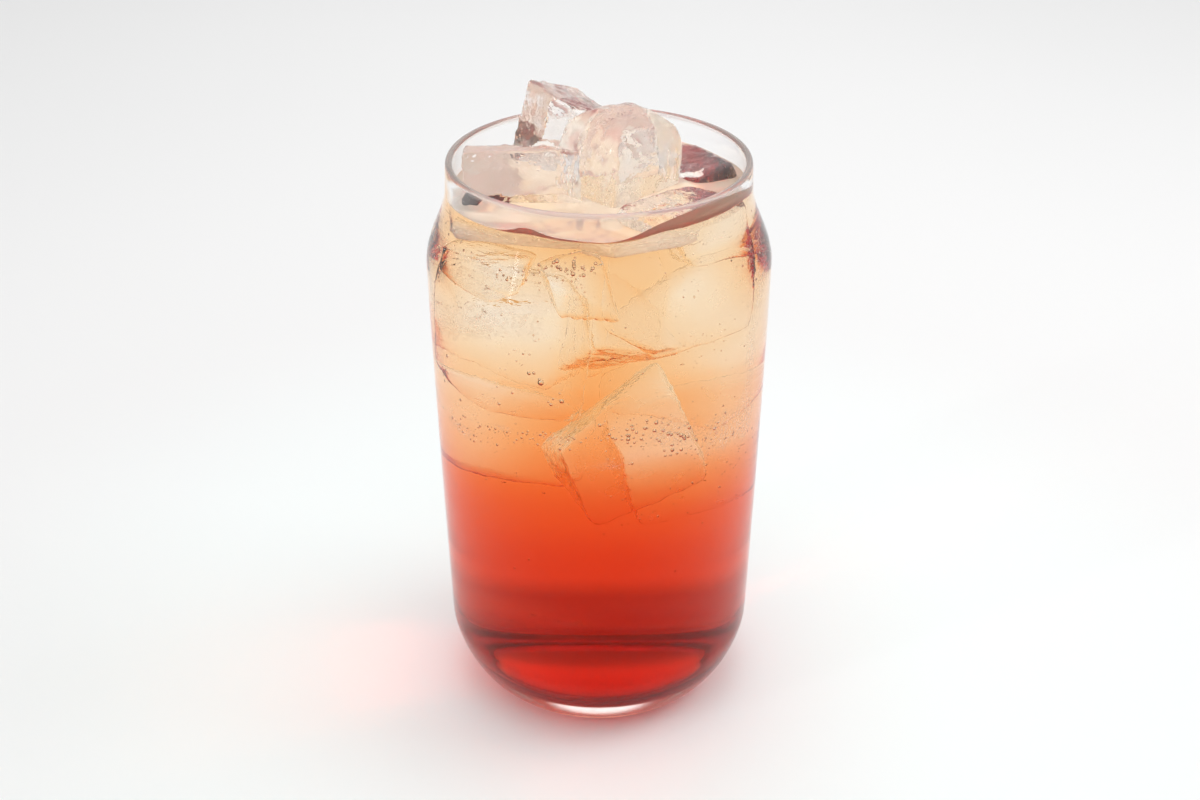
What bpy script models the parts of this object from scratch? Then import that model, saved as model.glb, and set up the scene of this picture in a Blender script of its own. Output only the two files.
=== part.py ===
"""Iced layered drink in a can-shaped glass, modelled in metres with +Z up and the foot at Z = 0."""

import math

import bmesh
import bpy
import numpy as np
from mathutils import Euler

# Outside of the glass
GLASS_HEIGHT = 0.133
FOOT_RADIUS = 0.0247
HEEL_TOP_Z = 0.0182
HEEL_TOP_RADIUS = 0.03618
HEEL_ROUNDNESS = 1.59
BELLY_Z = 0.1097
BELLY_RADIUS = 0.0382
BELLY_POWER = 1.35
NECK_Z = 0.1273
NECK_RADIUS = 0.0334
RIM_RADIUS = 0.03313
LIP_HEIGHT = 0.00075
FOOT_RING_WIDTH = 0.0032
PUNT_RADIUS = 0.0185
PUNT_DEPTH = 0.0023

# Inside of the glass
RIM_WALL = 0.0015
BODY_WALL = 0.0018
LOW_WALL = 0.0023
FLOOR_Z = 0.0070
FLOOR_RADIUS = 0.0205
BORE_HEEL_Z = 0.0212
BORE_ROUNDNESS = 1.85

# Drink
LIQUID_Z = 0.1273
LAYER_Z = 0.062
GAP = 0.0003

# Ice: middle, sides, turn in degrees, and how square its crown is
ICE = {
    "ice_peak": ((-0.0061, 0.0169, 0.1301), (0.018, 0.021, 0.027), (16.6, 3.3, 48.1), 14.0),
    "ice_dome": ((0.0044, 0.0001, 0.1293), (0.0238, 0.0198, 0.0290), (6.0, 6.0, 46.0), 3.2),
    "ice_slab": ((-0.0158, -0.0075, 0.1275), (0.0270, 0.0062, 0.0205), (-6.0, 0.0, 2.0), 14.0),
    "ice_wedge": ((0.0200, 0.0115, 0.1158), (0.019, 0.025, 0.023), (-7.0, -13.0, 24.0), 14.0),
    "ice_right": ((0.0163, -0.0157, 0.1142), (0.027, 0.019, 0.028), (13.0, 3.0, 46.0), 14.0),
}
ICE_SQUARENESS = 14.0
ICE_TO_GLASS = 0.0011
ICE_CELLS = 6

# Slanting crown of the tallest block: its normal and its distance from the middle
PEAK_CROWN = ((0.446, 0.096, 0.890), 0.0100)

# Flat faces where two blocks meet: the normal from the first to the second, and a point's reach along it
PARTINGS = (
    ("ice_peak", "ice_dome", (0.40, -0.91, 0.11), 0.0071),
    ("ice_peak", "ice_slab", (-0.20, -0.90, -0.38), -0.0478),
    ("ice_peak", "ice_wedge", (0.95, -0.20, -0.24), -0.0272),
    ("ice_slab", "ice_dome", (0.71, 0.70, 0.0), -0.0086),
    ("ice_dome", "ice_wedge", (0.68, 0.73, -0.10), 0.0016),
    ("ice_dome", "ice_right", (0.73, -0.68, -0.04), 0.0079),
    ("ice_right", "ice_wedge", (0.12, 0.95, 0.29), 0.0360),
)
PARTING_GAP = 0.00035

# Fineness of the turned shapes
TURN_STEPS = 64
HEEL_STEPS = 6
SHOULDER_STEPS = 6
LIP_STEPS = 4


def clear_scene():
    """Remove the objects and meshes of the scene that this file is run in."""
    for obj in list(bpy.data.objects):
        bpy.data.objects.remove(obj, do_unlink=True)
    for mesh in list(bpy.data.meshes):
        bpy.data.meshes.remove(mesh)


def make_collection(name, hidden):
    """Make a collection, hidden from the render if it holds cutters."""
    collection = bpy.data.collections.new(name)
    collection.hide_render = hidden
    bpy.context.scene.collection.children.link(collection)
    return collection


def make_material(name, colour, roughness, transmission):
    """Make a Principled material from a base colour."""
    material = bpy.data.materials.new(name)
    material.use_nodes = True
    shader = material.node_tree.nodes["Principled BSDF"]
    shader.inputs["Base Color"].default_value = (*colour, 1.0)
    shader.inputs["Roughness"].default_value = roughness
    shader.inputs["Metallic"].default_value = 0.0
    shader.inputs["Transmission Weight"].default_value = transmission
    material.diffuse_color = (*colour, 1.0)
    return material


def outer_radius(z):
    """Radius of the outside above the heel: a swelling belly, a rounded shoulder and a short neck."""
    z = np.asarray(z, float)
    fall = np.clip((BELLY_Z - z) / (BELLY_Z - HEEL_TOP_Z), 0.0, 1.0) ** BELLY_POWER
    belly = BELLY_RADIUS - (BELLY_RADIUS - HEEL_TOP_RADIUS) * fall
    turn = np.clip((z - BELLY_Z) / (NECK_Z - BELLY_Z), 0.0, 1.0)
    shoulder = (BELLY_RADIUS - NECK_RADIUS) * 0.5 * (1.0 - np.cos(np.pi * turn))
    neck = (NECK_RADIUS - RIM_RADIUS) * np.clip((z - NECK_Z) / (GLASS_HEIGHT - NECK_Z), 0.0, 1.0)
    return belly - shoulder - neck


def wall_thickness(z):
    """Wall of the glass, thick above the heel and thin at the rim."""
    heights = (BORE_HEEL_Z, 0.5 * BELLY_Z, BELLY_Z, NECK_Z)
    return np.interp(z, heights, (LOW_WALL, BODY_WALL, BODY_WALL, RIM_WALL))


def bore_radius(z):
    """Radius of the inside above its heel."""
    return outer_radius(z) - wall_thickness(z)


def heel_curve(low_radius, low_z, high_radius, high_z, roundness, steps):
    """Rounded corner from the floor or the foot up to the wall, as (radius, height) pairs."""
    turn = np.linspace(0.0, 0.5 * math.pi, steps + 1)
    out = low_radius + (high_radius - low_radius) * np.sin(turn) ** (2.0 / roundness)
    up = high_z - (high_z - low_z) * np.cos(turn) ** (2.0 / roundness)
    return np.column_stack([out, up])


def wall_levels(low_z, high_z):
    """Heights of the rings on a wall, close together on the shoulder."""
    body = np.linspace(BORE_HEEL_Z, BELLY_Z, 5)
    shoulder = np.linspace(BELLY_Z, NECK_Z, SHOULDER_STEPS + 1)
    levels = np.concatenate([body, shoulder[1:]])
    between = levels[(levels > low_z + GAP) & (levels < high_z - GAP)]
    return np.concatenate([[low_z], between, [high_z]])


def bore_profile(inset, low_z, high_z):
    """Inside outline from low_z to high_z, drawn in by an inset."""
    levels = wall_levels(max(low_z, BORE_HEEL_Z), high_z)
    wall = np.column_stack([bore_radius(levels) - inset, levels])
    if low_z >= BORE_HEEL_Z:
        return wall
    heel = heel_curve(FLOOR_RADIUS, low_z, wall[0, 0], BORE_HEEL_Z, BORE_ROUNDNESS, HEEL_STEPS)
    return np.concatenate([heel[:-1], wall])


def glass_profile():
    """Closed outline of the glass from its floor over the lip down to the foot."""
    lip_z = GLASS_HEIGHT - LIP_HEIGHT
    inside = bore_profile(0.0, FLOOR_Z, lip_z)
    turn = np.linspace(math.pi, 0.0, LIP_STEPS + 1)[1:-1]
    lip_middle = RIM_RADIUS - 0.5 * RIM_WALL
    lip = np.column_stack([
        lip_middle + 0.5 * RIM_WALL * np.cos(turn),
        lip_z + LIP_HEIGHT * np.sin(turn),
    ])
    levels = wall_levels(HEEL_TOP_Z, lip_z)[::-1]
    outside = np.column_stack([outer_radius(levels), levels])
    heel = heel_curve(FOOT_RADIUS, 0.0, HEEL_TOP_RADIUS, HEEL_TOP_Z, HEEL_ROUNDNESS, HEEL_STEPS)
    punt_turn = np.linspace(0.0, 0.5 * math.pi, 4)
    punt = np.column_stack([
        PUNT_RADIUS * np.cos(punt_turn),
        PUNT_DEPTH * np.sin(punt_turn) ** 0.6,
    ])
    ring = [(FOOT_RADIUS - FOOT_RING_WIDTH, 0.0)]
    floor = [(0.0, FLOOR_Z)]
    return np.concatenate([floor, inside, lip, outside, heel[-2::-1], ring, punt])


def turned(name, profile, collection, material):
    """Turn a (radius, height) outline round the Z axis with a Screw modifier."""
    mesh = bpy.data.meshes.new(name)
    points = [(max(radius, 0.0), 0.0, height) for radius, height in profile]
    mesh.from_pydata(points, [(i, i + 1) for i in range(len(points) - 1)], [])
    obj = bpy.data.objects.new(name, mesh)
    collection.objects.link(obj)
    obj.data.materials.append(material)
    screw = obj.modifiers.new("Turn", "SCREW")
    screw.axis = "Z"
    screw.angle = 2.0 * math.pi
    screw.steps = TURN_STEPS
    screw.render_steps = TURN_STEPS
    screw.use_merge_vertices = True
    screw.merge_threshold = 0.00001
    screw.use_smooth_shade = True
    return obj


def block_faces(name):
    """Normals and distances from the middle of a block's faces. The crown comes first."""
    middle, sides, turn, _ = ICE[name]
    axes = np.array(Euler([math.radians(angle) for angle in turn], "XYZ").to_matrix())
    normals = [axes[:, 2], -axes[:, 2], axes[:, 0], -axes[:, 0], axes[:, 1], -axes[:, 1]]
    reach = [0.5 * sides[2]] * 2 + [0.5 * sides[0]] * 2 + [0.5 * sides[1]] * 2
    if name == "ice_peak":
        normals.append(np.array(PEAK_CROWN[0]))
        reach.append(PEAK_CROWN[1])
    for first, second, normal, along in PARTINGS:
        if name not in (first, second):
            continue
        side = 1.0 if name == first else -1.0
        normal = np.array(normal) / np.linalg.norm(normal)
        normals.append(side * normal)
        reach.append(side * (along - normal @ np.array(middle)) - 0.5 * PARTING_GAP)
    return np.array(normals), np.array(reach)


def block_reach(ways, normals, reach, crown):
    """Distance from the middle to the rounded block along each way."""
    part = np.clip(ways @ normals.T, 0.0, None) / reach
    sides = (part[:, 1:] ** ICE_SQUARENESS).sum(axis=1) ** (crown / ICE_SQUARENESS)
    return (sides + part[:, 0] ** crown) ** (-1.0 / crown)


def ice_block(name, collection, material, grow=0.0):
    """Push a subdivided cube out to the block's faces and keep it off the wall of the glass."""
    middle, sides, turn, crown = ICE[name]
    label = name if grow == 0.0 else name + "_cutter"
    mesh = bpy.data.meshes.new(label)
    shape = bmesh.new()
    bmesh.ops.create_cube(shape, size=2.0)
    bmesh.ops.subdivide_edges(shape, edges=shape.edges[:], cuts=ICE_CELLS - 1, use_grid_fill=True)
    bmesh.ops.triangulate(shape, faces=shape.faces[:])
    grid = np.array([vert.co for vert in shape.verts])
    axes = np.array(Euler([math.radians(angle) for angle in turn], "XYZ").to_matrix())
    ways = (np.sin(grid * 0.5 * math.pi) * np.array(sides)) @ axes.T
    ways /= np.linalg.norm(ways, axis=1, keepdims=True)
    normals, reach = block_faces(name)
    points = np.array(middle) + ways * block_reach(ways, normals, reach + grow, crown)[:, None]
    room = bore_radius(np.clip(points[:, 2], BORE_HEEL_Z, GLASS_HEIGHT)) - ICE_TO_GLASS + grow
    out = np.hypot(points[:, 0], points[:, 1])
    free = points[:, 2] > GLASS_HEIGHT + LIP_HEIGHT
    points[:, :2] *= np.where(free, 1.0, np.minimum(1.0, room / out))[:, None]
    for vert, point in zip(shape.verts, points):
        vert.co = point
    for face in shape.faces:
        face.smooth = True
    shape.to_mesh(mesh)
    shape.free()
    obj = bpy.data.objects.new(label, mesh)
    collection.objects.link(obj)
    obj.data.materials.append(material)
    return obj


def drink_layer(name, low_z, high_z, collection, material):
    """Make one layer of the drink, flat above and below, standing off the glass by the gap."""
    side = bore_profile(GAP, low_z, high_z)
    return turned(name, np.concatenate([[(0.0, high_z)], side[::-1], [(0.0, low_z)]]), collection, material)


def main():
    """Build the glass, the two layers of the drink and the ice that breaks the surface."""
    clear_scene()
    parts = make_collection("Iced layered drink", False)
    cutters = make_collection("Cutters", True)
    glass = make_material("Clear glass", (0.95, 0.96, 0.96), 0.02, 0.9)
    syrup = make_material("Red syrup", (0.80, 0.09, 0.03), 0.05, 0.6)
    soda = make_material("Pale soda", (0.98, 0.66, 0.38), 0.05, 0.7)
    ice = make_material("Clear ice", (0.94, 0.93, 0.92), 0.05, 0.9)
    turned("glass", glass_profile(), parts, glass)
    drink_layer("syrup_layer", FLOOR_Z + GAP, LAYER_Z - 0.5 * GAP, parts, syrup)
    upper = drink_layer("soda_layer", LAYER_Z + 0.5 * GAP, LIQUID_Z, parts, soda)
    for name in ICE:
        ice_block(name, parts, ice)
        cutter = ice_block(name, cutters, ice, GAP)
        cutter.hide_render = True
        cutter.display_type = "WIRE"
        cut = upper.modifiers.new("Room for " + name, "BOOLEAN")
        cut.operation = "DIFFERENCE"
        cut.solver = "EXACT"
        cut.object = cutter


main()
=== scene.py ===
"""Iced, layered drink in a can-shaped glass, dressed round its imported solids.

Laid out as an add-on and run as a script. Lengths are in metres, +Z is up, and the glass stands on
Z = 0 with its axis on the Z axis. The front is the side towards -Y.
"""

import math

import bpy
import numpy as np
from bpy.props import FloatProperty, FloatVectorProperty, IntProperty, PointerProperty
from mathutils import Euler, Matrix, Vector


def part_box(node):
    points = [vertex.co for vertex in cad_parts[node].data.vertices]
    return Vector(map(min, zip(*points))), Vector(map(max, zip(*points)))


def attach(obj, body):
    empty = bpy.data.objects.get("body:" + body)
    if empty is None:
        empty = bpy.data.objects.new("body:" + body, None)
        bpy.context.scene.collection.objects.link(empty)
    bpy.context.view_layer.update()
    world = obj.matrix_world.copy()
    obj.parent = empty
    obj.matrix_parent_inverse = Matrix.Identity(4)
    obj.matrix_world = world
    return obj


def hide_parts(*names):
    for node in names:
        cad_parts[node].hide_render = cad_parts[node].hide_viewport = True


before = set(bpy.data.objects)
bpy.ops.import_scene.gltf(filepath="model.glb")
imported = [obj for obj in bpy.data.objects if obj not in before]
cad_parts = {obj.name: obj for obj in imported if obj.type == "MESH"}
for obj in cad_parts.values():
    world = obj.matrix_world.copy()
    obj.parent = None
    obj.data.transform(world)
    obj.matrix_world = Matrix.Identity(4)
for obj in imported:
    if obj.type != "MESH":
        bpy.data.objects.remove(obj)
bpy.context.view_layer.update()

bl_info = {
    "name": "Iced layered drink",
    "version": (1, 0, 0),
    "blender": (4, 5, 0),
    "location": "3D View > Sidebar > Drink",
    "description": "Fine glass, drink, ice and bubbles for a layered drink in a can-shaped glass",
    "category": "Object",
}

# Outside of the glass, with its height and belly from the solids
GLASS_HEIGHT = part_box("glass")[1].z
FOOT_RADIUS = 0.0247
HEEL_TOP_Z = 0.0182
HEEL_TOP_RADIUS = 0.03618
HEEL_ROUNDNESS = 1.59
BELLY_Z = 0.1097
BELLY_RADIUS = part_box("glass")[1].x
BELLY_POWER = 1.35
NECK_Z = 0.1273
NECK_RADIUS = 0.0334
RIM_RADIUS = 0.03313
LIP_HEIGHT = 0.00075
FOOT_RING_WIDTH = 0.0032
PUNT_RADIUS = 0.0185
PUNT_DEPTH = 0.0023
PUNT_ROUNDNESS = 0.6

# Inside of the glass
RIM_WALL = 0.0015
BODY_WALL = 0.0018
LOW_WALL = 0.0023
FLOOR_Z = 0.0070
FLOOR_RADIUS = 0.0205
BORE_HEEL_Z = 0.0212
BORE_ROUNDNESS = 1.85

# Ice that breaks the surface: middle, sides, turn in degrees, and how square its crown is
ICE = {
    "ice_peak": ((-0.0061, 0.0169, 0.1301), (0.018, 0.021, 0.027), (16.6, 3.3, 48.1), 14.0),
    "ice_dome": ((0.0044, 0.0001, 0.1293), (0.0238, 0.0198, 0.0290), (6.0, 6.0, 46.0), 3.2),
    "ice_slab": ((-0.0158, -0.0075, 0.1275), (0.0270, 0.0062, 0.0205), (-6.0, 0.0, 2.0), 14.0),
    "ice_wedge": ((0.0200, 0.0115, 0.1158), (0.019, 0.025, 0.023), (-7.0, -13.0, 24.0), 14.0),
    "ice_right": ((0.0163, -0.0157, 0.1142), (0.027, 0.019, 0.028), (13.0, 3.0, 46.0), 14.0),
}
PEAK_CROWN = ((0.446, 0.096, 0.890), 0.0100)

# Flat faces between neighbours: normal from the first block to the second and place along it
PARTINGS = (
    ("ice_peak", "ice_dome", (0.40, -0.91, 0.11), 0.0071),
    ("ice_peak", "ice_slab", (-0.20, -0.90, -0.38), -0.0478),
    ("ice_peak", "ice_wedge", (0.95, -0.20, -0.24), -0.0272),
    ("ice_slab", "ice_dome", (0.71, 0.70, 0.0), -0.0086),
    ("ice_dome", "ice_wedge", (0.68, 0.73, -0.10), 0.0016),
    ("ice_dome", "ice_right", (0.73, -0.68, -0.04), 0.0079),
    ("ice_right", "ice_wedge", (0.12, 0.95, 0.29), 0.0360),
)
PARTING_GAP = 0.00035

# Ice that is wholly sunk: middle, sides and turn in degrees
SUNK_ICE = {
    "sunk_ice_left": ((-0.0170, -0.0140, 0.0965), (0.027, 0.026, 0.025), (0.0, 8.0, 12.0)),
    "sunk_ice_back": ((-0.0090, 0.0170, 0.0955), (0.027, 0.026, 0.026), (12.0, -8.0, 50.0)),
    "sunk_ice_right": ((0.0175, 0.0060, 0.0885), (0.026, 0.027, 0.026), (6.0, 10.0, -28.0)),
    "sunk_ice_front": ((0.0040, -0.0180, 0.0760), (0.027, 0.025, 0.026), (8.0, -20.0, 14.0)),
    "sunk_ice_low_left": ((-0.0180, 0.0060, 0.0690), (0.026, 0.026, 0.025), (-12.0, 14.0, 30.0)),
    "sunk_ice_low_right": ((0.0150, 0.0120, 0.0610), (0.026, 0.025, 0.025), (20.0, -10.0, 10.0)),
    "sunk_ice_high_front": ((-0.0035, -0.0205, 0.1100), (0.012, 0.018, 0.020), (4.0, -14.0, 8.0)),
    "sunk_ice_high_left": ((-0.0215, -0.0150, 0.1150), (0.021, 0.019, 0.013), (-6.0, 4.0, 40.0)),
    "sunk_ice_middle": ((0.0030, -0.0050, 0.0960), (0.024, 0.024, 0.024), (10.0, -8.0, 33.0)),
}
ICE_SQUARENESS = 14.0
ICE_TO_GLASS = 0.0011
ICE_CELLS = 30
PARTING_CELLS = 12

# Milky undersides: on which blocks, and where they start and how they fade, in shares of half a block
MILKY_ICE = ("ice_peak", "ice_dome", "ice_slab")
MILK_LEVEL = -0.6
MILK_FADE = 0.3

# Hollows of melting: slowest and fastest wave in radians to the metre, for broad and for fine ones
BROAD_DENTS = (380.0, 1100.0)
FINE_DENTS = (1400.0, 3200.0)
FINE_SHARE = 0.35
DENT_WAVES = 9
DENT_SHARPNESS = 3.0

# Height of the wetted line on the wall by the angle from the front, in degrees towards +X
WETTED_ANGLES = (-180, -110, -75, -45, -35, -27, -18, 4, 12, 20, 30, 45, 62, 85, 120, 180)
WETTED_HEIGHTS = (
    0.1264, 0.1262, 0.1256, 0.1264, 0.1270, 0.1290, 0.1275, 0.1267,
    0.1277, 0.1296, 0.1309, 0.1319, 0.1308, 0.1280, 0.1266, 0.1264,
)
WETTED_EASE = 3
STILL_LEVEL = 0.1252
CREEP_LENGTH = 0.0021

# The syrup thickens downwards in steps, each a body of its own inside the drink
LAYER_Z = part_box("soda_layer")[0].z
SYRUP_TOPS = tuple(LAYER_Z + rise for rise in (0.0070, -0.0010, -0.0095, -0.0190, -0.0320))
AMBER_STEPS = 2
SYRUP_INSET = 0.00010
SYRUP_STEP = 0.00005
SYRUP_WAVE = 0.0018
SYRUP_EASE = 0.004
CENTIMETRE = 0.01

# How strongly each stuff bends light, against air
GLASS_BEND = 1.5
WATER_BEND = 1.342
ICE_BEND = 1.31

# Fineness: steps round the axis and along each part of an outline, and cells of a bubble
SPOKES = 192
SURFACE_RINGS = 56
RINGS_TO_EDGE = 1.5
EDGE_ROUNDS = 4
WALL_STEPS = 72
FLOOR_RINGS = 9
BORE_HEEL_STEPS = 24
FOOT_HEEL_STEPS = 28
LIP_STEPS = 16
PUNT_STEPS = 19
SYRUP_RINGS = 12
BUBBLE_CELLS = 3
BUBBLE_ROOM = 0.0001
SHARP_ANGLE = math.radians(32.0)

# Tint of the glass, by the share of the way from its foot to its half height.
# The orange near the foot is painted light: the drink's colour caught in the heel, not a tint of the glass
GLASS_TINTS_AND_FOOT_GLOW = (
    (0.0, (0.970, 0.330, 0.170)),
    (0.05, (0.975, 0.430, 0.250)),
    (0.09, (0.985, 0.820, 0.740)),
    (0.12, (0.988, 0.994, 0.990)),
    (1.0, (0.999, 0.999, 0.999)),
)
# Painted light on the clear lip: a warm colour for the warm light seen in the rim, and the heights it
# spans
LIP_GLOW_COLOUR = (0.90, 0.78, 0.73, 1.0)
LIP_GLOW_REACH = (GLASS_HEIGHT - 0.0016, GLASS_HEIGHT - 0.0004)

# Tint of the drink where it meets the wall, by the share of the way up the blend, and its dark ring of
# painted shade
# The drink's own colour; the lowest stops are also darkened by painted shade for the dim light under the
# glass
DRINK_TINTS_AND_SHADE = (
    (0.0, (0.910, 0.430, 0.265)),
    (0.35, (0.955, 0.505, 0.335)),
    (0.7, (0.975, 0.650, 0.480)),
    (0.9, (0.992, 0.850, 0.745)),
    (1.0, (0.996, 0.975, 0.930)),
)
BLEND = (LAYER_Z - 0.027, LAYER_Z + 0.022)
BLEND_DRIFT = 0.006
# Painted shade: a dark ring low in the drink, where it fades in, where it fades out, and its colour
SHADE_RING_START = (0.0045, 0.0078)
SHADE_RING_END = (0.0110, 0.0165)
SHADE_RING_COLOUR = (0.400, 0.095, 0.080, 1.0)
FOAM_STRENGTH = 0.30


def length_setting(name, description, default):
    """A setting in metres."""
    return FloatProperty(name=name, description=description, default=default, unit="LENGTH")


def colour_setting(name, description, default):
    """A setting that holds a colour."""
    look = {"size": 3, "subtype": "COLOR"}
    return FloatVectorProperty(name=name, description=description, default=default, **look)


class DrinkSettings(bpy.types.PropertyGroup):
    """Sizes and colours of the dressed drink."""

    into_wall: length_setting(
        "Reach into the wall",
        "How far the drink reaches into the glass, so that no air shows between them",
        0.00012,
    )
    ice_climb: length_setting(
        "Climb on ice",
        "How high the drink creeps up the ice",
        0.0012,
    )
    ice_into_drink: length_setting(
        "Ice into drink",
        "How far the ice reaches into the drink round it",
        0.00006,
    )
    ice_dents: length_setting(
        "Ice dents",
        "Depth of the hollows that melting leaves in the ice",
        0.00055,
    )
    frost: FloatProperty(
        name="Frost",
        description="Roughness of the cloudy patches on the ice",
        default=0.22,
        min=0.0,
        max=1.0,
        subtype="FACTOR",
    )
    bubble_count: IntProperty(
        name="Bubbles",
        description="How many small bubbles are scattered evenly over the wall",
        default=260,
        min=0,
    )
    soda_colour: colour_setting(
        "Upper colour",
        "Colour of light that has crossed a centimetre of the upper drink",
        (0.998, 0.912, 0.800),
    )
    amber_colour: colour_setting(
        "Middle colour",
        "Colour of light that has crossed a centimetre of the drink where it turns",
        (0.997, 0.822, 0.640),
    )
    syrup_colour: colour_setting(
        "Lower colour",
        "Colour of light that has crossed a centimetre of the lowest drink",
        (0.964, 0.672, 0.540),
    )
    floor_colour: colour_setting(
        "Floor colour",
        "Colour of the floor",
        (0.85, 0.85, 0.85),
    )
    room_light: FloatProperty(
        name="Room light",
        description="Strength of the soft light from all round",
        default=1.0,
        min=0.0,
    )
    key_light: FloatProperty(
        name="Key light",
        description="Power of the large lamp on the right, which the other lamps follow",
        default=1.45,
        min=0.0,
        unit="POWER",
    )


class Number:
    """A shader socket that carries a number. Arithmetic on it adds Math nodes."""

    def __init__(self, sheet, socket):
        self.sheet = sheet
        self.socket = socket

    def joined(self, operation, first, second):
        return self.sheet.add("Math", {"operation": operation}, {0: first, 1: second})

    def __add__(self, other):
        return self.joined("ADD", self, other)

    def __radd__(self, other):
        return self.joined("ADD", other, self)

    def __sub__(self, other):
        return self.joined("SUBTRACT", self, other)

    def __rsub__(self, other):
        return self.joined("SUBTRACT", other, self)

    def __mul__(self, other):
        return self.joined("MULTIPLY", self, other)

    def __rmul__(self, other):
        return self.joined("MULTIPLY", other, self)

    def between(self, low, high):
        """Rise smoothly from 0 at low to 1 at high."""
        settings = {"interpolation_type": "SMOOTHSTEP"}
        return self.sheet.add("MapRange", settings, {"Value": self, "From Min": low, "From Max": high})


class Sheet:
    """The nodes of one material or world."""

    def __init__(self, owner):
        owner.use_nodes = True
        self.tree = owner.node_tree
        self.tree.nodes.clear()

    def add(self, kind, settings=None, sockets=None, out=0):
        """Add a node: its settings or ramp stops first, then the values or links of its sockets."""
        node = self.tree.nodes.new("ShaderNode" + kind)
        for name, value in (settings or {}).items():
            if name == "stops":
                self.set_stops(node.color_ramp, value)
            else:
                setattr(node, name, value)
        for name, value in (sockets or {}).items():
            if isinstance(value, Number):
                self.tree.links.new(value.socket, node.inputs[name])
            else:
                node.inputs[name].default_value = value
        return Number(self, node.outputs[out]) if node.outputs else node

    def set_stops(self, ramp, stops):
        """Give a colour ramp its stops, as (place, colour) pairs."""
        while len(ramp.elements) > 1:
            ramp.elements.remove(ramp.elements[-1])
        for index, (place, colour) in enumerate(stops):
            stop = ramp.elements[0] if index == 0 else ramp.elements.new(place)
            stop.position = place
            stop.color = (*colour, 1.0)


def material_sheet(name):
    """Make an empty material and the sheet of its nodes."""
    material = bpy.data.materials.new(name)
    return material, Sheet(material)


def outer_radius(z):
    """Radius of the outside above the heel: a swelling belly, a rounded shoulder and a short neck."""
    z = np.asarray(z, float)
    fall = np.clip((BELLY_Z - z) / (BELLY_Z - HEEL_TOP_Z), 0.0, 1.0) ** BELLY_POWER
    belly = BELLY_RADIUS - (BELLY_RADIUS - HEEL_TOP_RADIUS) * fall
    turn = np.clip((z - BELLY_Z) / (NECK_Z - BELLY_Z), 0.0, 1.0)
    shoulder = (BELLY_RADIUS - NECK_RADIUS) * 0.5 * (1.0 - np.cos(np.pi * turn))
    neck = (NECK_RADIUS - RIM_RADIUS) * np.clip((z - NECK_Z) / (GLASS_HEIGHT - NECK_Z), 0.0, 1.0)
    return belly - shoulder - neck


def bore_radius(z):
    """Radius of the inside above its heel: the outside less a wall that thins towards the rim."""
    heights = (BORE_HEEL_Z, 0.5 * BELLY_Z, BELLY_Z, NECK_Z)
    return outer_radius(z) - np.interp(z, heights, (LOW_WALL, BODY_WALL, BODY_WALL, RIM_WALL))


def heel_curve(low_radius, low_z, high_radius, high_z, roundness, steps):
    """Quarter of a rounded square from the floor or foot up to the wall, as (radius, height) pairs."""
    turn = np.linspace(0.0, 0.5 * math.pi, steps + 1)
    out = low_radius + (high_radius - low_radius) * np.sin(turn) ** (2.0 / roundness)
    up = high_z - (high_z - low_z) * np.cos(turn) ** (2.0 / roundness)
    return np.column_stack([out, up])


def bore_profile(grow, low_z, high_z):
    """Inside outline from the axis over the floor and heel up to high_z, pushed out by grow."""
    levels = np.linspace(BORE_HEEL_Z, high_z, WALL_STEPS + 1)
    wall = np.column_stack([bore_radius(levels) + grow, levels])
    heel = heel_curve(FLOOR_RADIUS, low_z, wall[0, 0], BORE_HEEL_Z, BORE_ROUNDNESS, BORE_HEEL_STEPS)
    across = FLOOR_RADIUS * np.linspace(0.1, 0.9, FLOOR_RINGS)
    floor = np.column_stack([across, np.full(FLOOR_RINGS, low_z)])
    return np.concatenate([floor, heel[:-1], wall])


def glass_profile():
    """Closed outline of the glass from its floor over the round lip and down to the foot and punt."""
    lip_z = GLASS_HEIGHT - LIP_HEIGHT
    inside = bore_profile(0.0, FLOOR_Z, lip_z)
    turn = np.linspace(math.pi, 0.0, LIP_STEPS + 1)[1:-1]
    lip = np.column_stack([
        RIM_RADIUS - 0.5 * RIM_WALL + 0.5 * RIM_WALL * np.cos(turn),
        lip_z + LIP_HEIGHT * np.sin(turn),
    ])
    levels = np.linspace(HEEL_TOP_Z, lip_z, WALL_STEPS + 1)[::-1]
    outside = np.column_stack([outer_radius(levels), levels])
    heel = heel_curve(FOOT_RADIUS, 0.0, HEEL_TOP_RADIUS, HEEL_TOP_Z, HEEL_ROUNDNESS, FOOT_HEEL_STEPS)
    punt_turn = np.linspace(0.0, 0.5 * math.pi, PUNT_STEPS + 1)[:-1]
    punt = np.column_stack([
        PUNT_RADIUS * np.cos(punt_turn),
        PUNT_DEPTH * np.sin(punt_turn) ** PUNT_ROUNDNESS,
    ])
    ring = [(FOOT_RADIUS - FOOT_RING_WIDTH, 0.0)]
    return np.concatenate([inside, lip, outside, heel[-2::-1], ring, punt])


def turned_rings(profile):
    """Rings of points that carry a (radius, height) outline once round the Z axis."""
    turn = np.linspace(0.0, 2.0 * math.pi, SPOKES, endpoint=False)
    radius, height = profile[:, :1], profile[:, 1:]
    return np.stack([radius * np.cos(turn), radius * np.sin(turn), height + 0.0 * turn], axis=-1)


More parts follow.
